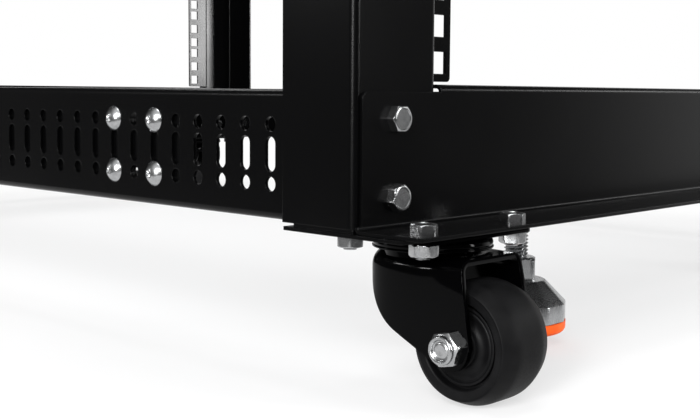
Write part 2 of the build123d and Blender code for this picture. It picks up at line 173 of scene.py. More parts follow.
def makeWorld():                                # strength = surround + the glows, and 1 where white is seen
    world = bpy.data.worlds.new("studio")
    bpy.context.scene.world = world
    world.use_nodes = True
    tree = world.node_tree
    tree.nodes.clear()
    view = tree.nodes.new("ShaderNodeTexCoord").outputs["Generated"]
    total = studioSet["surround"]
    for glow in studioSet["glows"]:
        total = addMath(tree, "ADD", addPatch(tree, view, *glow), total)
    around = tree.nodes.new("ShaderNodeBackground")
    around.inputs["Color"].default_value = plainWhite
    link(tree, total, around.inputs["Strength"])
    white = tree.nodes.new("ShaderNodeBackground")
    white.inputs["Color"].default_value = plainWhite
    white.inputs["Strength"].default_value = 1.0
    behind = addPatch(tree, view, *studioSet["backdrop"])
    addSurface(tree, addSeen(tree, behind), around, white, "ShaderNodeOutputWorld")


def makeFloor():
    # Share of white = lift at the rack, rising to 1 with the distance outside its footprint:
    # distance = length of (max(|x| - half width, 0), max(|y| - half depth, 0)).
    halfX, halfY = studioSet["floorHalf"]
    mesh = bpy.data.meshes.new("floor")
    outline = [(-halfX, -halfY, 0), (halfX, -halfY, 0), (halfX, halfY, 0), (-halfX, halfY, 0)]
    mesh.from_pydata(outline, [], [(0, 1, 2, 3)])
    floor = bpy.data.objects.new("floor", mesh)
    bpy.context.scene.collection.objects.link(floor)
    material = bpy.data.materials.new("paleFloor")
    material.use_nodes = True
    tree = material.node_tree
    tree.nodes.clear()
    ground = tree.nodes.new("ShaderNodeBsdfDiffuse")
    ground.inputs["Color"].default_value = studioSet["floorColour"]
    glow = tree.nodes.new("ShaderNodeEmission")
    glow.inputs["Color"].default_value = plainWhite
    place = tree.nodes.new("ShaderNodeTexCoord")
    parts = tree.nodes.new("ShaderNodeSeparateXYZ")
    link(tree, place.outputs["Object"], parts.inputs[0])
    outside = []
    for axis, half in zip("XY", studioSet["rackHalf"]):
        reach = addMath(tree, "SUBTRACT", addMath(tree, "ABSOLUTE", parts.outputs[axis], 0.0), half)
        outside.append(addMath(tree, "POWER", addMath(tree, "MAXIMUM", reach, 0.0), 2.0))
    distance = addMath(tree, "POWER", addMath(tree, "ADD", *outside), 0.5)
    rise = addRange(tree, distance, *studioSet["floorRise"], studioSet["floorLift"], 1.0, True)
    share = addMath(tree, "MULTIPLY", addSeen(tree), rise)
    addSurface(tree, share, ground, glow, "ShaderNodeOutputMaterial")
    mesh.materials.append(material)


def makeLamps():                                # soft boxes, each turned with its face to its aim
    for number, (place, aim, size, watts, spread) in enumerate(studioSet["lamps"]):
        data = bpy.data.lights.new(f"softbox{number}", "AREA")
        data.shape = "RECTANGLE"
        data.size, data.size_y = size
        data.energy = watts
        data.spread = math.radians(spread)
        lamp = bpy.data.objects.new(f"softbox{number}", data)
        lamp.location = place
        lamp.rotation_euler = (Vector(aim) - Vector(place)).to_track_quat("-Z", "Y").to_euler()
        lamp.visible_camera = False
        bpy.context.scene.collection.objects.link(lamp)


bpy.context.scene.view_settings.view_transform = "Standard"
makeCamera()
makeWorld()
makeFloor()
makeLamps()
print("camera, floor and light made")


# Materials. Each starts from newFinish and reads Object coordinates, which are the rack's own metres.
noiseMiddle = (0.3, 0.7)        # the part of a noise over which a colour or a roughness changes


def newFinish(name, colour, metal, rough, gloss):
    material = bpy.data.materials.new(name)
    material.use_nodes = True
    material.diffuse_color = (*colour, 1)
    shader = material.node_tree.nodes["Principled BSDF"]
    shader.inputs["Base Color"].default_value = (*colour, 1)
    shader.inputs["Metallic"].default_value = metal
    shader.inputs["Roughness"].default_value = rough
    shader.inputs["Specular IOR Level"].default_value = gloss
    place = material.node_tree.nodes.new("ShaderNodeTexCoord")
    return material, material.node_tree, shader, place.outputs["Object"]


def addNoise(tree, place, perMetre, detail=2.0, stretch=(1, 1, 1)):     # noise(place x perMetre x stretch)
    mapping = tree.nodes.new("ShaderNodeMapping")
    mapping.inputs["Scale"].default_value = [perMetre * share for share in stretch]
    link(tree, place, mapping.inputs["Vector"])
    noise = tree.nodes.new("ShaderNodeTexNoise")
    noise.inputs["Scale"].default_value = 1.0
    noise.inputs["Detail"].default_value = detail
    link(tree, mapping.outputs["Vector"], noise.inputs["Vector"])
    return noise.outputs["Fac"]


def addBlend(tree, share, lowColour, highColour):       # colour = (1 - share) low + share high
    mix = tree.nodes.new("ShaderNodeMix")
    mix.data_type = "RGBA"
    mix.inputs[6].default_value = (*lowColour, 1)       # a Mix node's two colours are its inputs 6 and 7
    mix.inputs[7].default_value = (*highColour, 1)
    link(tree, share, mix.inputs["Factor"])
    return mix.outputs[2]


def addBump(tree, shader, height, metres, strength=1.0, before=None):
    # Normal = the one before, tilted by the slope of height x metres, as far as the strength says.
    bump = tree.nodes.new("ShaderNodeBump")
    bump.inputs["Strength"].default_value = strength
    bump.inputs["Distance"].default_value = metres
    link(tree, height, bump.inputs["Height"])
    if before is not None:
        link(tree, before, bump.inputs["Normal"])
    link(tree, bump.outputs["Normal"], shader.inputs["Normal"])
    return bump.outputs["Normal"]


# Powder coat: orange peel under a fine grit, with faint glints painted into its colour where the grit is
# high.
powderSet = {
    "dark": (0.0005, 0.0005, 0.0006), "light": (0.0016, 0.0016, 0.0017), "gloss": 0.10, "rough": 0.35,
    "peelPerMetre": 900, "peelHeight": 0.000010, "peelStrength": 0.6,
    "gritPerMetre": 3200, "gritHeight": 0.000012, "gritStrength": 0.55, "paintedGlintRange": (0.35, 0.75),
    "cloudPerMetre": 9, "roughLow": 0.20, "roughHigh": 0.27, "edgeRadius": 0.0006, "edgeSamples": 4,
}


def makePowderCoat():
    # Colour = dark to light by the grit, which is a painted glint; roughness = low to high by the cloud;
    # normal = the edges rounded, then the peel's bump, then the grit's.
    s = powderSet
    material, tree, shader, place = newFinish("powderCoatBlack", s["light"], 0.0, s["rough"], s["gloss"])
    grit = addNoise(tree, place, s["gritPerMetre"], 1.0)
    peel = addNoise(tree, place, s["peelPerMetre"], 2.0)
    cloud = addNoise(tree, place, s["cloudPerMetre"], 3.0)
    # painted glints: the base colour is made lighter where the grit noise is high
    paintedGlint = addRange(tree, grit, *s["paintedGlintRange"])
    link(tree, addBlend(tree, paintedGlint, s["dark"], s["light"]), shader.inputs["Base Color"])
    rough = addRange(tree, cloud, *noiseMiddle, s["roughLow"], s["roughHigh"])
    link(tree, rough, shader.inputs["Roughness"])
    rounded = tree.nodes.new("ShaderNodeBevel")
    rounded.samples = s["edgeSamples"]
    rounded.inputs["Radius"].default_value = s["edgeRadius"]
    under = addBump(tree, shader, peel, s["peelHeight"], s["peelStrength"], rounded.outputs["Normal"])
    addBump(tree, shader, grit, s["gritHeight"], s["gritStrength"], under)
    return material


# Caster enamel: deep black and glossy, a slight waviness of the pressed steel under it.
enamelSet = {
    "colour": (0.0003, 0.0003, 0.0004), "gloss": 0.055, "rough": 0.15,
    "wavePerMetre": 90, "waveHeight": 0.00012, "waveStrength": 0.5,
    "dustPerMetre": 2600, "dustHeight": 0.000012, "dustStrength": 0.5, "dustShown": (0.45, 0.75),
    "roughLow": 0.07, "roughHigh": 0.13,
}


def makeEnamel():                               # roughness = low to high by the dust, over a wavy normal
    s = enamelSet
    material, tree, shader, place = newFinish("casterEnamelBlack", s["colour"], 0.0, s["rough"], s["gloss"])
    wave = addNoise(tree, place, s["wavePerMetre"], 1.0)
    dust = addNoise(tree, place, s["dustPerMetre"], 1.0)
    rough = addRange(tree, dust, *s["dustShown"], s["roughLow"], s["roughHigh"])
    link(tree, rough, shader.inputs["Roughness"])
    under = addBump(tree, shader, wave, s["waveHeight"], s["waveStrength"])
    addBump(tree, shader, dust, s["dustHeight"], s["dustStrength"], under)
    return material


# Bright zinc: pale metal with a faint cloudy grain and small pits.
zincSet = {
    "dark": (0.34, 0.345, 0.35), "light": (0.45, 0.455, 0.46), "gloss": 0.5, "rough": 0.28,
    "roughLow": 0.22, "roughHigh": 0.27, "cloudPerMetre": 420, "grainPerMetre": 2400,
    "grainDetail": 2.0, "grainStretch": (1, 1, 1), "grainHeight": 0.000006, "grainStrength": 0.5,
}

# Levelling foot: turned zinc, its brushing in fine upright lines.
footZincSet = {
    "dark": (0.30, 0.305, 0.31), "light": (0.40, 0.405, 0.41), "gloss": 0.5, "rough": 0.3,
    "roughLow": 0.22, "roughHigh": 0.30, "cloudPerMetre": 240, "grainPerMetre": 3600,
    "grainDetail": 2.0, "grainStretch": (1, 1, 0.03), "grainHeight": 0.000010, "grainStrength": 0.5,
}

# Wheel: matte charcoal nylon with a fine moulded grain.
wheelFinishSet = {
    "dark": (0.0016, 0.0016, 0.0018), "light": (0.0044, 0.0044, 0.0047), "gloss": 0.08, "rough": 0.5,
    "roughLow": 0.42, "roughHigh": 0.6, "cloudPerMetre": 120, "grainPerMetre": 2200,
    "grainDetail": 3.0, "grainStretch": (1, 1, 1), "grainHeight": 0.00003, "grainStrength": 0.6,
}

# Pad: orange rubber, a little lighter in soft clouds.
padSet = {
    "dark": (0.94, 0.10, 0.008), "light": (1.0, 0.145, 0.014), "gloss": 0.15, "rough": 0.5,
    "roughLow": 0.42, "roughHigh": 0.6, "cloudPerMetre": 160, "grainPerMetre": 1500,
    "grainDetail": 3.0, "grainStretch": (1, 1, 1), "grainHeight": 0.00003, "grainStrength": 0.6,
}


def makeGrained(name, s, metal):
    # Colour = dark to light by the cloud; roughness = low to high by the grain, which is also the
    # height of the bump.
    material, tree, shader, place = newFinish(name, s["light"], metal, s["rough"], s["gloss"])
    grain = addNoise(tree, place, s["grainPerMetre"], s["grainDetail"], s["grainStretch"])
    cloud = addNoise(tree, place, s["cloudPerMetre"], 3.0)
    share = addRange(tree, cloud, *noiseMiddle)
    link(tree, addBlend(tree, share, s["dark"], s["light"]), shader.inputs["Base Color"])
    rough = addRange(tree, grain, *noiseMiddle, s["roughLow"], s["roughHigh"])
    link(tree, rough, shader.inputs["Roughness"])
    addBump(tree, shader, grain, s["grainHeight"], s["grainStrength"])
    return material


powderCoat = makePowderCoat()
enamel = makeEnamel()
zinc = makeGrained("zincPlate", zincSet, 1.0)
footZinc = makeGrained("zincFoot", footZincSet, 1.0)
wheelFinish = makeGrained("wheelBlack", wheelFinishSet, 0.0)
padFinish = makeGrained("padOrange", padSet, 0.0)
finishes = {                # how a node's name starts, and its finish; the first that fits holds
    "post": powderCoat, "beam": powderCoat, "rail_screws": zinc, "rail": powderCoat,
    "caster_plate": enamel, "fork": enamel, "axle": zinc, "wheel": wheelFinish,
    "foot": footZinc, "pad": padFinish, "fasteners": zinc,
}


def finishNodes():                              # each node of the frame takes the finish of its name
    for name, node in frame["nodes"].items():
        finish = next(finishes[start] for start in finishes if name.startswith(start))
        if not node.material_slots:
            node.data.materials.append(finish)
        for slot in node.material_slots:
            slot.material = finish


finishNodes()
print("frame finished in its materials")


# Pieces. A part is its points and faces; a piece is one or more parts in one mesh, at the origin.
def skin(rings, closed=False):              # quads from each ring of points to the next, flat ends
    rows, columns = rings.shape[:2]
    row = np.arange(rows if closed else rows - 1)[:, None]
    column = np.arange(columns)[None, :]
    nextRow, nextColumn = (row + 1) % rows, (column + 1) % columns
    around = (row * columns + column, row * columns + nextColumn,
              nextRow * columns + nextColumn, nextRow * columns + column)
    faces = np.stack(np.broadcast_arrays(*around), -1).reshape(-1, 4).tolist()
    if not closed:
        faces += [list(range(columns))[::-1], list(range((rows - 1) * columns, rows * columns))]
    return rings.reshape(-1, 3), faces


def anglesOf(steps):                        # a full turn in equal steps, without its end
    return np.linspace(0, 2 * math.pi, steps, endpoint=False)


def ringsOf(radii, levels, angles):
    # x = r cos a, y = r sin a, z = level, with r on a grid of level and angle.
    radii = np.broadcast_to(radii, (len(levels), len(angles)))
    heights = np.broadcast_to(np.asarray(levels, float)[:, None], radii.shape)
    return np.stack([radii * np.cos(angles), radii * np.sin(angles), heights], -1)


def turned(profile, steps, closed=False):   # a profile of radius and level turned about Z
    profile = np.asarray(profile, float)
    return skin(ringsOf(profile[:, :1], profile[:, 1], anglesOf(steps)), closed)


def roundedRun(stops, steps=5):
    # A line of (radius, level, rounding): each corner becomes a curve between its two tangent
    # points, p = (1-t)^2 a + 2t(1-t) corner + t^2 b.
    most = 0.49                             # share of a side that one curve may take
    stops = [np.array(stop, float) for stop in stops]
    run = [stops[0][:2]]
    for before, corner, after in zip(stops, stops[1:], stops[2:]):
        rounding = corner[2] if len(corner) > 2 else 0
        if rounding <= 0:
            run.append(corner[:2])
            continue
        back, on = before[:2] - corner[:2], after[:2] - corner[:2]
        start = corner[:2] + back / np.linalg.norm(back) * min(rounding, np.linalg.norm(back) * most)
        end = corner[:2] + on / np.linalg.norm(on) * min(rounding, np.linalg.norm(on) * most)
        t = np.linspace(0, 1, steps)[:, None]
        run.extend((1 - t) ** 2 * start + 2 * t * (1 - t) * corner[:2] + t ** 2 * end)
    run.append(stops[-1][:2])
    return np.array(run)


def sidedRadius(flats, sides, angles, corner=1.0):
    # Distance from the axis to a regular polygon's edge: half the flats over the cosine of the
    # angle from the flat's middle, with the corners turned down to a share of their reach.
    step = 2 * math.pi / sides
    reach = flats / 2 / np.cos(angles % step - step / 2)
    return np.minimum(reach, flats / 2 / math.cos(step / 2) * corner)


hexSet = {                  # every hexagon; corner is a share of its reach, deep a share of its flats
    "corner": 0.99, "deep": 0.065, "slope": 1.73, "rings": 6, "steps": 72,
}


def chamferedHex(flats, low, high, turn=0.0, lowFace=0.475, highFace=0.475, extra=()):
    # A hexagon whose ends are turned to a cone: radius = the smaller of the hexagon's and the
    # face's radius plus slope times the depth below that face. Extra rings follow on the top face.
    angles = anglesOf(hexSet["steps"])
    hexagon = sidedRadius(flats, 6, angles - turn, hexSet["corner"])
    deep = hexSet["deep"] * flats
    steps = np.linspace(0, deep, hexSet["rings"])
    levels = np.concatenate([low + steps, high - steps[::-1]])
    slope = hexSet["slope"]
    limit = np.minimum(lowFace * flats + slope * (levels - low), highFace * flats + slope * (high - levels))
    radii = np.minimum(hexagon[None, :], limit[:, None])
    for radius, level in extra:
        radii = np.vstack([radii, np.full(len(angles), radius)])
        levels = np.append(levels, level)
    return skin(ringsOf(radii, levels, angles))


def threaded(radius, pitch, low, high, depth=0.61, steps=40, perTurn=8, endTaper=0.0):
    # A right-hand thread: radius = crest less depth times a triangle wave of level/pitch - angle/turn,
    # held down towards the high end by the taper. The wave is cut to 0 and 1, which leaves narrow flats.
    angles = anglesOf(steps)
    levels = np.linspace(low, high, max(3, int(round((high - low) / pitch * perTurn)) + 1))
    phase = (levels[:, None] / pitch - angles[None, :] / (2 * math.pi)) % 1
    wave = np.clip(1.25 * np.abs(2 * phase - 1) - 0.12, 0, 1)
    radii = radius - depth * pitch * wave
    if endTaper > 0:
        radii = np.minimum(radii, radius - endTaper + np.maximum(high - levels, 0)[:, None])
    return skin(ringsOf(radii, levels, angles))


def moved(part, place, axis=(0, 0, 1)):
    # Point = x (across x along) + y across + z along + place: the part's Z is laid along the axis,
    # and across is square to it.
    points, faces = part
    along = Vector(axis).normalized()
    side = Vector((1, 0, 0)) if abs(along.x) < 0.9 else Vector((0, 1, 0))
    across = side.cross(along).normalized()
    turn = np.array([across.cross(along), across, along])
    return points @ turn + np.asarray(place, float), faces


def makePiece(name, parts, finish, body, sharpDegrees=32):    # the parts' points and faces end to end
    points, faces, start = [], [], 0
    for partPoints, partFaces in parts:
        points.append(partPoints)
        faces += [[start + index for index in face] for face in partFaces]
        start += len(partPoints)
    mesh = bpy.data.meshes.new(name)
    mesh.from_pydata(np.concatenate(points).tolist(), [], faces)
    mesh.update()
    mesh.shade_smooth()
    mesh.set_sharp_from_angle(angle=math.radians(sharpDegrees))
    mesh.materials.append(finish)
    piece = bpy.data.objects.new(name, mesh)
    bpy.context.scene.collection.objects.link(piece)
    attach(piece, body)
    return piece


def solidBoxes(name):
    # The boxes of a node's separate solids: each point takes the lowest number among the points
    # it shares an edge with, until none changes.
    mesh = frame["nodes"][name].data
    points = np.empty(len(mesh.vertices) * 3, np.float32)
    mesh.vertices.foreach_get("co", points)
    points, same = np.unique(np.round(points.reshape(-1, 3), 6), axis=0, return_inverse=True)
    edges = np.empty(len(mesh.edges) * 2, np.int32)
    mesh.edges.foreach_get("vertices", edges)
    ends = same.ravel()[edges.reshape(-1, 2)]
    label = np.arange(len(points))
    while True:
        low = label[ends].min(1)
        lower = label.copy()
        np.minimum.at(lower, ends[:, 0], low)
        np.minimum.at(lower, ends[:, 1], low)
        lower = lower[lower]
        if (lower == label).all():
            break
        label = lower
    return [(points[label == number].min(0), points[label == number].max(0)) for number in np.unique(label)]


def middleOf(name):                         # half way between the node's lowest and highest corners
    low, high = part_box(name)
    return np.array((low + high) / 2)


def kingpinOf(side, end):                   # where a caster's upright axis meets the floor
    joint = next(j for j in frame["joints"] if j["name"] == f"swivel_{end}_{side}")
    return np.array([joint["pos_m"][0], joint["pos_m"][1], 0])


# Bolts, screws and nuts of the frame, each standing on its seat with its shank down the axis.
boltSet = {
    "flats": 0.010, "headHigh": 0.004, "lowHead": 0.0031, "headFaces": (0.6, 0.465), "faceDish": 0.00022,
    "nutFlats": 0.0103, "nutHigh": 0.005, "nutFaces": (0.475, 0.485), "tip": 0.001,
    "dishShares": (0.90, 0.84, 0.3), "shank": 0.003, "shankShare": 0.95, "shankIn": 0.0005, "pitch": 0.001,
    "screwHead": 0.0058, "screwHigh": 0.0036, "screwFoot": 0.0003, "footShare": 0.96, "middleShare": 0.02,
    "recessHalf": 0.0021, "recessDeep": 0.0008, "recessEnd": 0.0013, "armHalf": 0.00085, "armEdge": 0.0006,
    "turns": (28.0, 12.0, 17.0, 0.0, 47.0, 33.0, 18.0, 52.0),     # how each one happens to stand, degrees
    "nutTurns": (0.0, 41.0, 9.0, 22.0, 33.0, 14.0),
}


def shankAndNut(grip, number):
    # Below the seat: the nut from grip to grip + nut, the thread from the nut's middle to the tip's
    # end, and the plain shank from there up into the head.
    s = boltSet
    inNut = -grip - s["nutHigh"] * 0.5
    end = -grip - s["nutHigh"] - s["tip"]
    turn = math.radians(s["nutTurns"][number % len(s["nutTurns"])])
    nut = chamferedHex(s["nutFlats"], -grip - s["nutHigh"], -grip, turn, *s["nutFaces"])
    plain = s["shank"] * s["shankShare"]
    shaft = turned([(plain, inNut), (plain, s["shankIn"])], 24)
    tip = threaded(s["shank"], s["pitch"], end, inNut, steps=32)
    return [nut, shaft, tip]


def hexBolt(grip, number, upright):
    # A chamfered hexagon with a dished face; upright ones hold the caster and have a lower head.
    s = boltSet
    high = s["lowHead"] if upright else s["headHigh"]
    turn = math.radians(s["turns"][number % len(s["turns"])])
    face = s["headFaces"][1] * s["flats"]
    rim, foot, middle = (face * share for share in s["dishShares"])
    dish = [(rim, high), (foot, high - s["faceDish"]), (middle, high - s["faceDish"])]
    head = chamferedHex(s["flats"], 0, high, turn, *s["headFaces"], dish)
    return [head] + shankAndNut(grip, number)


def softStep(value):                        # 3 v^2 - 2 v^3, with v held to 0 to 1
    held = np.clip(value, 0, 1)
    return held ** 2 * (3 - 2 * held)


def roundScrew(grip, number, upright):
    # The head is a cap of a sphere, z = rise at r, with a cross pressed into it: each arm is as deep
    # as its two soft edges allow.
    s = boltSet
    turn = math.radians(s["turns"][number % len(s["turns"])])
    angles, shares = anglesOf(64), np.linspace(1, s["middleShare"], 26)
    radii = s["screwHead"] * shares
    sphere = (s["screwHead"] ** 2 + s["screwHigh"] ** 2) / (2 * s["screwHigh"])
    rise = np.sqrt(sphere ** 2 - radii ** 2) - (sphere - s["screwHigh"])
    x = radii[:, None] * np.cos(angles - turn)
    y = radii[:, None] * np.sin(angles - turn)
    arm, reach = np.minimum(abs(x), abs(y)), np.maximum(abs(x), abs(y))
    arms = softStep((s["armHalf"] - arm) / s["armEdge"])
    cross = arms * softStep((s["recessHalf"] - reach) / s["recessEnd"])
    top = rise[:, None] - s["recessDeep"] * cross
    cap = np.stack([radii[:, None] * np.cos(angles), radii[:, None] * np.sin(angles), top], -1)
    rims = np.array([[s["screwHead"] * s["footShare"]], [s["screwHead"]]])
    foot = ringsOf(rims, [0.0, s["screwFoot"]], angles)
    return [skin(np.concatenate([foot, cap]))] + shankAndNut(grip, number)


def makeFixings(node, maker, headHigh):
    # Each solid of the node is a fixing along its longest side: grip = length - head - nut - tip, and
    # the seat is half the length less the head from its middle. Heads are up, or outside the rack.
    parts = []
    for number, (low, high) in enumerate(solidBoxes(node)):
        size, middle = high - low, (low + high) / 2
        along = int(np.argmax(size))
        axis = np.zeros(3)
        axis[along] = 1.0 if along == 2 else math.copysign(1, middle[along])
        grip = size[along] - headHigh - boltSet["nutHigh"] - boltSet["tip"]
        seat = middle + axis * (size[along] / 2 - headHigh)
        parts += [moved(part, seat, axis) for part in maker(grip, number, along == 2)]
    piece = makePiece(node + "_dressed", parts, zinc, "root")
    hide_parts(node)


for side, end in corners:
    makeFixings(f"fasteners_{end}_{side}", hexBolt, boltSet["headHigh"])
for side in ("left", "right"):
    makeFixings(f"rail_screws_{side}", roundScrew, boltSet["screwHigh"])
print("bolts, screws and nuts made")


# Levelling foot: a threaded stud and a chamfered hexagon on a many-sided cone and skirt, with the
# corners and rims turned down to narrow bright edges.
footSet = {
    "hexFlats": 0.019, "hexTurn": 33.4, "hexHigh": 0.0111, "hexFaces": (0.6, 0.46), "hexSunk": 0.0002,
    "cone": 0.0109, "skirt": 0.0088, "sides": 12, "wide": 0.0508, "neck": 0.0302, "middle": 0.010,
    "edge": 0.0004, "corner": 0.994, "stud": 0.006, "studSunk": 0.001, "studTaper": 0.0012, "pitch": 0.00175,
}


def makeFoot(side, end):
    # Radius at a level = (1 - round) x the many-sided outline + round x a circle that lies between
    # its flats and its corners.
    s = footSet
    node = f"foot_{end}_{side}"
    low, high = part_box(node)
    middle = middleOf(node)
    bottom, shoulder = low.z, low.z + s["skirt"]
    plateau = shoulder + s["cone"]
    top = plateau + s["hexHigh"]
    flat, edge = math.cos(math.pi / s["sides"]), s["edge"]
    wide, neck = s["wide"] * flat, s["neck"] * flat
    angles = anglesOf(144)
    run = [                 # level, flats, how round
        (bottom, wide - 2 * edge, 0), (bottom + edge, wide, 0),
        (shoulder - edge, wide, 0), (shoulder, wide - 0.6 * edge, 0),
        (shoulder + 1.4 * edge, wide - 3 * edge, 0),
        (plateau - 2.0 * edge, neck + 1.6 * edge, 0.2), (plateau - 0.7 * edge, neck - 0.6 * edge, 0.6),
        (plateau, neck - 3.2 * edge, 1), (plateau, s["middle"], 1),
    ]
    radii = []
    for level, flats, rounded in run:
        sided = sidedRadius(flats, s["sides"], angles - math.pi / s["sides"], s["corner"])
        radii.append(sided * (1 - rounded) + flats / 2 / math.cos(math.pi / s["sides"] / 2) * rounded)
    body = skin(ringsOf(np.array(radii), [row[0] for row in run], angles))
    turn = math.radians(s["hexTurn"])
    hexagon = chamferedHex(s["hexFlats"], plateau - s["hexSunk"], top, turn, *s["hexFaces"])
    stud = threaded(s["stud"], s["pitch"], top - s["studSunk"], high.z, steps=48, endTaper=s["studTaper"])
    place = (middle[0], middle[1], 0)
    piece = makePiece(f"levellingFoot_{end}_{side}", [moved(part, place) for part in (body, hexagon, stud)],
                      footZinc, f"leveller_{end}_{side}", 20)
    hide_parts(node)


for side, end in corners:
    makeFoot(side, end)
print("levelling feet made")


# Wheel: a crowned tread, a crisp rim line, side rings, a deep groove, a ridge, the dished disc and
# the hub. Millimetres of (radius, distance from the middle), turned about the axle.
wheelSet = {
    "tread": 25.0, "half": 15.1, "crown": 0.5, "shoulder": 8.0, "rimLine": 21.6, "ringIn": 17.6,
    "grooveIn": 16.2, "grooveDeep": 4.2, "ridge": 15.2, "disc": 2.1, "dish": 1.3, "hub": 8.6, "bore": 4.1,
    "hubHalf": 15.4, "steps": 144,
}


def wheelProfile():                         # half of it from the tread's middle to the bore, and its mirror
    s = wheelSet
    half, face = s["half"], s["half"] - 0.35
    groove, disc = half - s["grooveDeep"], half - s["disc"]
    right = roundedRun([
        (s["tread"], 0), (s["tread"], half * 0.45, 2.5),
        (s["tread"] - s["crown"], half - s["shoulder"] * 0.75, 2.0),
        (s["rimLine"] + 0.5, half - 0.15, 2.6), (s["rimLine"], half, 0.25), (s["rimLine"] - 0.5, face, 0.3),
        (s["ringIn"] + 0.6, face - 0.1, 0.35), (s["ringIn"], face - 0.7, 0.35),
        (s["ringIn"] - 0.2, groove, 0.4), (s["grooveIn"], groove, 0.4),
        (s["grooveIn"], disc - 0.2, 0.3), (s["ridge"], disc, 0.4),
        (s["ridge"] - 0.7, disc - 0.9, 0.3), (s["ridge"] - 1.4, disc - 0.4, 0.5),
        (s["hub"] + 2.4, disc - s["dish"], 1.6), (s["hub"] + 0.3, disc, 0.8),
        (s["hub"], half - 0.3, 0.4), (s["hub"] - 1.6, s["hubHalf"], 0.5), (s["bore"], s["hubHalf"]),
    ], 6)
    left = right[1:][::-1] * [1, -1]
    return np.concatenate([left, right]) / 1000


def makeWheel(side, end):                   # the profile turned about the wheel's own axis
    node = f"wheel_{end}_{side}"
    part = turned(wheelProfile(), wheelSet["steps"], True)
    piece = makePiece(f"wheelDressed_{end}_{side}", [moved(part, middleOf(node), (1, 0, 0))],
                      wheelFinish, f"roller_{end}_{side}", 28)
    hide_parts(node)


for side, end in corners:
    makeWheel(side, end)
print("wheels made")


# Axle: a hexagon head inside, and outside a locking nut with a rolled collar round the bolt's end.
axleSet = {
    "flats": 0.013, "half": 0.0182, "shaft": 0.00395, "endIn": 0.0006,
    "nutHigh": 0.0062, "nutTurn": 12, "nutFaces": (0.48, 0.455),
    "collar": 0.0058, "collarHigh": 0.002, "lip": 0.0042,
    "headHigh": 0.0053, "headTurn": 31, "headFaces": (0.6, 0.465),
    "headDish": ((0.0052, 0.0), (0.0048, -0.0002), (0.002, -0.0002)),       # radius, level from the face
}


def makeAxle(side, end):                    # the wheel's middle is the origin, out is away from the rack
    s = axleSet
    node = f"axle_{end}_{side}"
    wheelMiddle = middleOf(f"wheel_{end}_{side}")
    out = -1 if side == "left" else 1
    half, nutTop = s["half"], s["half"] + s["nutHigh"]
    top = nutTop + s["collarHigh"]
    nut = chamferedHex(s["flats"], half, nutTop, math.radians(s["nutTurn"]), *s["nutFaces"])
    collar = turned(roundedRun([
        (s["collar"], nutTop - 0.0004), (s["collar"], top, 0.0011),
        (s["lip"] + 0.0001, top - 0.0001, 0.0006), (s["lip"] - 0.0003, top - 0.0012, 0.0003),
        (0.0030, top - 0.0013),
    ]), 64)
    tip = turned(roundedRun([
        (s["shaft"] * 0.92, half), (s["shaft"] * 0.92, top - s["endIn"] - 0.0006, 0.0004),
        (s["shaft"] * 0.62, top - s["endIn"], 0.0005), (0.0004, top - s["endIn"] - 0.00025),
    ]), 48)
    shaft = turned([(s["shaft"], -half), (s["shaft"], half)], 32)
    dish = [(radius, s["headHigh"] + level) for radius, level in s["headDish"]]
    head = chamferedHex(s["flats"], 0, s["headHigh"], math.radians(s["headTurn"]), *s["headFaces"], dish)
    parts = [moved(part, wheelMiddle, (out, 0, 0)) for part in (nut, collar, tip, shaft)]
    parts.append(moved(head, wheelMiddle - np.array([out * half, 0, 0]), (-out, 0, 0)))
    piece = makePiece(f"axleDressed_{end}_{side}", parts, zinc, f"swivel_{end}_{side}")
    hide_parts(node)


for side, end in corners:
    makeAxle(side, end)
print("axles made")


# Fork: pressed steel, drawn into a hat whose walls are the two legs and the round back. In plan the
# wall is straight in front and then |x/half|^power + |(t + bend)/long|^power = 1, t to the rear.
# Millimetres, but for the wall, the broken edge and what is merged, which are in metres.
forkSet = {
    "half": 18.2, "bend": 15.0, "long": 35.3, "power": 4.6, "frontTop": 30.5,
    "frontSlope": 0.169, "slopeFrom": 5, "top": 58.4, "frontDrop": 1.2,
    "shoulderWide": 5.0, "shoulderHigh": 5.6, "frontShoulder": 2.4, "shoulderFrom": 10,
    "boss": (-25.6, 25.3, 9.6), "back": (-8.0, 50.6, 25.2), "backTaper": 0.95, "backFrom": 14.0,
    "lean": 0.09, "leanFrom": (-16.0, 52.5), "leanTo": (-32.0, 47.0), "leanRise": 6,
    "rows": (7, 13, 26),    # levels on the top, down the shoulder and down the wall
    "wall": 0.0025, "edge": 0.0008, "edgeAngle": 50, "merge": 2e-6, "tiny": 1e-7,
    "neck": 20.5, "neckTop": 60.6, "neckSunk": 0.4,
}


def forkLowest(t):                          # lower edge of the wall: boss circle, its tangent, back circle
    s = forkSet
    (bossT, bossZ, bossR), (backT, backZ, backR) = s["boss"], s["back"]
    apart = math.hypot(backT - bossT, backZ - bossZ)
    turn = math.atan2(backZ - bossZ, backT - bossT) - math.acos((bossR - backR) / apart)
    normal = (math.cos(turn), math.sin(turn))
    startT, startZ = bossT + bossR * normal[0], bossZ + bossR * normal[1]
    endT, endZ = backT + backR * normal[0], backZ + backR * normal[1]
    circle = bossZ - np.sqrt(np.maximum(bossR ** 2 - (t - bossT) ** 2, 0))
    line = startZ + (endZ - startZ) * (t - startT) / (endT - startT)
    back = backZ - np.sqrt(np.maximum(backR ** 2 - (t - backT) ** 2, 0))
    return np.where(t < startT, circle, np.where(t < endT, line, back))


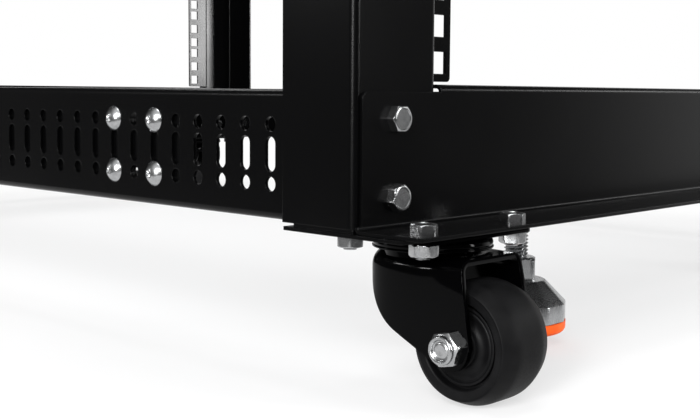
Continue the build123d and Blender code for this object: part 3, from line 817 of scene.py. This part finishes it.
def forkPlan():
    # The wall in plan, from the left leg's front edge round the back to the right one's: points are
    # closer at the front, and x = half (1 - reach^power)^(1/power) round the back.
    s = forkSet
    straight = -s["frontTop"] + (s["frontTop"] - s["bend"]) * (1 - np.cos(np.linspace(0, math.pi / 2, 22)))
    bent = np.linspace(-s["bend"], 0, 10)[1:-1]
    first = math.asin((s["bend"] / s["long"]) ** (s["power"] / 2))
    backAngles = np.linspace(first, math.pi / 2, 34)
    t = np.concatenate([straight, bent, -s["bend"] + s["long"] * np.sin(backAngles) ** (2 / s["power"])])
    reach = np.clip((t + s["bend"]) / s["long"], 0, 1)
    x = -s["half"] * (1 - reach ** s["power"]) ** (1 / s["power"])
    x[-1] = 0
    return np.concatenate([x, -x[-2::-1]]), np.concatenate([t, t[-2::-1]])


def forkSheet():
    # Each column runs from the spine over the top to the wall, down a quarter ellipse and the wall.
    # The front edge slopes back as it goes down, so the wall's lowest point is found in small steps.
    s = forkSet
    x, t = forkPlan()
    spine = np.minimum(t, 0)
    reach = np.hypot(x, t - spine)
    front = np.clip((-s["shoulderFrom"] - t) / (s["frontTop"] - s["shoulderFrom"]), 0, 1)
    wide = s["shoulderWide"] * (1 - front) + s["frontShoulder"] * front
    high = s["shoulderHigh"] * (1 - front) + s["frontShoulder"] * front
    top = s["top"] - s["frontDrop"] * np.clip(-t / s["frontTop"], 0, 1)
    slope = s["frontSlope"] * np.clip((-s["slopeFrom"] - t) / (s["frontTop"] - s["slopeFrom"]), 0, 1)
    sideT = np.where(t > s["backFrom"], s["backFrom"] + (t - s["backFrom"]) * s["backTaper"], t)
    bossFront = s["boss"][0] - s["boss"][2]
    low = np.full(len(t), 30.0)
    for _ in range(30):
        low = 0.5 * low + 0.5 * forkLowest(np.maximum(sideT - slope * (top - low), bossFront))
    shares, levels = [], []
    topRows, shoulderRows, wallRows = s["rows"]
    for part in np.linspace(0, 1, topRows)[:-1]:
        shares.append(part * (1 - wide / reach))
        levels.append(top)
    for angle in np.linspace(0, math.pi / 2, shoulderRows):
        shares.append(1 - wide / reach * (1 - math.sin(angle)))
        levels.append(top - high * (1 - math.cos(angle)))
    for part in np.linspace(0, 1, wallRows)[1:]:
        shares.append(np.ones(len(t)))
        levels.append((top - high) * (1 - part) + low * part)
    shares, levels = np.array(shares), np.array(levels)
    (fromT, fromZ), (toT, toZ) = s["leanFrom"], s["leanTo"]
    lineZ = fromZ + (toZ - fromZ) * (t - fromT) / (toT - fromT)
    lean = s["lean"] * np.clip(levels - lineZ, 0, None) * np.clip((fromT - t) / s["leanRise"], 0, 1)
    outX = x * shares * (1 - lean / s["half"])
    outT = spine + (t - spine) * shares - slope * (top - levels)
    rings = np.stack([outX, outT, levels], -1) / 1000
    columns = len(t)
    starts = (np.arange(len(levels) - 1)[:, None] * columns + np.arange(columns - 1)[None, :]).ravel()
    faces = np.stack([starts, starts + columns, starts + columns + 1, starts + 1], -1).tolist()
    return rings.reshape(-1, 3), faces


def walledSheet(sheet):
    # The sheet with its doubles merged, then the wall's thickness inward and its edges broken.
    s = forkSet
    cleaner = bmesh.new()
    cleaner.from_mesh(sheet.data)
    bmesh.ops.remove_doubles(cleaner, verts=cleaner.verts, dist=s["merge"])
    bmesh.ops.dissolve_degenerate(cleaner, edges=cleaner.edges, dist=s["tiny"])
    cleaner.to_mesh(sheet.data)
    cleaner.free()
    thick = sheet.modifiers.new("wall", "SOLIDIFY")
    thick.thickness = s["wall"]
    thick.offset = -1
    thick.use_even_offset = True
    broken = sheet.modifiers.new("edge", "BEVEL")
    broken.width = s["edge"]
    broken.segments = 2
    broken.limit_method = "ANGLE"
    broken.angle_limit = math.radians(s["edgeAngle"])
    solid = bpy.data.meshes.new_from_object(sheet.evaluated_get(bpy.context.evaluated_depsgraph_get()))
    solidPoints = np.empty(len(solid.vertices) * 3)
    solid.vertices.foreach_get("co", solidPoints)
    return solidPoints.reshape(-1, 3), [list(face.vertices) for face in solid.polygons]


def makeFork(side, end):
    # The sheet stands on the kingpin with its legs towards the wheel. It is a piece of its own until
    # it is walled, and the neck is a turned profile on its top.
    s = forkSet
    node = f"fork_{end}_{side}"
    name = f"forkDressed_{end}_{side}"
    kingpin = kingpinOf(side, end)
    backward = 1 if middleOf(f"wheel_{end}_{side}")[1] < kingpin[1] else -1
    points, faces = forkSheet()
    points = points * [backward, backward, 1] + kingpin
    sheet = makePiece(name + "_sheet", [(points, faces)], enamel, f"swivel_{end}_{side}")
    walled = walledSheet(sheet)
    bpy.data.objects.remove(sheet)
    neckLow, neckHigh = (s["top"] - s["neckSunk"]) / 1000, s["neckTop"] / 1000
    neck = turned([(s["neck"] / 1000, neckLow), (s["neck"] / 1000, neckHigh)], 72)
    parts = [walled, moved(neck, kingpin)]
    piece = makePiece(name, parts, enamel, f"swivel_{end}_{side}", 38)
    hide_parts(node)


for side, end in corners:
    makeFork(side, end)
print("forks made")


# Caster plate: its edges broken, a short neck, and the upper race with a rolled rim and a lip.
plateSet = {
    "halfLong": 0.0345, "halfWide": 0.0270, "corner": 0.005, "thick": 0.0016, "edge": 0.0003,
    "race": 0.02525, "raceHigh": 0.0053, "raceDown": 0.0009, "neck": 0.020, "cornerPoints": 9,
}


def plateRing(inset, level):                # a rectangle's outline with rounded corners, at one level
    s = plateSet
    radius, count = s["corner"] - inset, s["cornerPoints"]
    points = []
    for number, (signX, signY) in enumerate(((1, 1), (-1, 1), (-1, -1), (1, -1))):
        angles = np.linspace(0, math.pi / 2, count) + number * math.pi / 2
        x = signX * (s["halfLong"] - s["corner"]) + radius * np.cos(angles)
        y = signY * (s["halfWide"] - s["corner"]) + radius * np.sin(angles)
        points.append(np.stack([x, y, np.full(count, level)], -1))
    return np.concatenate(points)


def makeCasterPlate(side, end):             # the plate's outlines, and the turned race and pin
    s = plateSet
    node = f"caster_plate_{end}_{side}"
    low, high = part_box(node)
    under = high.z - s["thick"]
    plate = skin(np.stack([
        plateRing(s["edge"], under), plateRing(0, under + s["edge"]),
        plateRing(0, high.z - s["edge"]), plateRing(s["edge"], high.z),
    ]))
    rim, neck = s["race"], s["neck"]
    raceLow, raceTop = under - s["raceHigh"], under - s["raceDown"]
    race = turned(roundedRun([
        (0.004, raceLow + 0.0006), (rim - 0.0040, raceLow + 0.0006, 0.0004),
        (rim - 0.0022, raceLow, 0.0004), (rim, raceLow + 0.0001, 0.0003),
        (rim, raceLow + 0.0008, 0.0002), (rim - 0.0005, raceLow + 0.0011, 0.0002),
        (rim - 0.0001, raceLow + 0.0022, 0.0010), (rim - 0.0008, raceTop, 0.0012),
        (neck, raceTop + 0.0001, 0.0006), (neck - 0.0004, under + 0.0002),
    ]), 96)
    pin = turned(roundedRun([
        (0.0020, low.z), (0.0062, low.z, 0.0006), (0.0065, low.z + 0.0017, 0.0004),
        (0.0040, low.z + 0.0018), (0.0040, under),
    ]), 40)
    parts = [moved(part, kingpinOf(side, end)) for part in (plate, race, pin)]
    piece = makePiece(f"casterPlateDressed_{end}_{side}", parts, enamel, "root")
    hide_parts(node)


for side, end in corners:
    makeCasterPlate(side, end)
print("caster plates made")
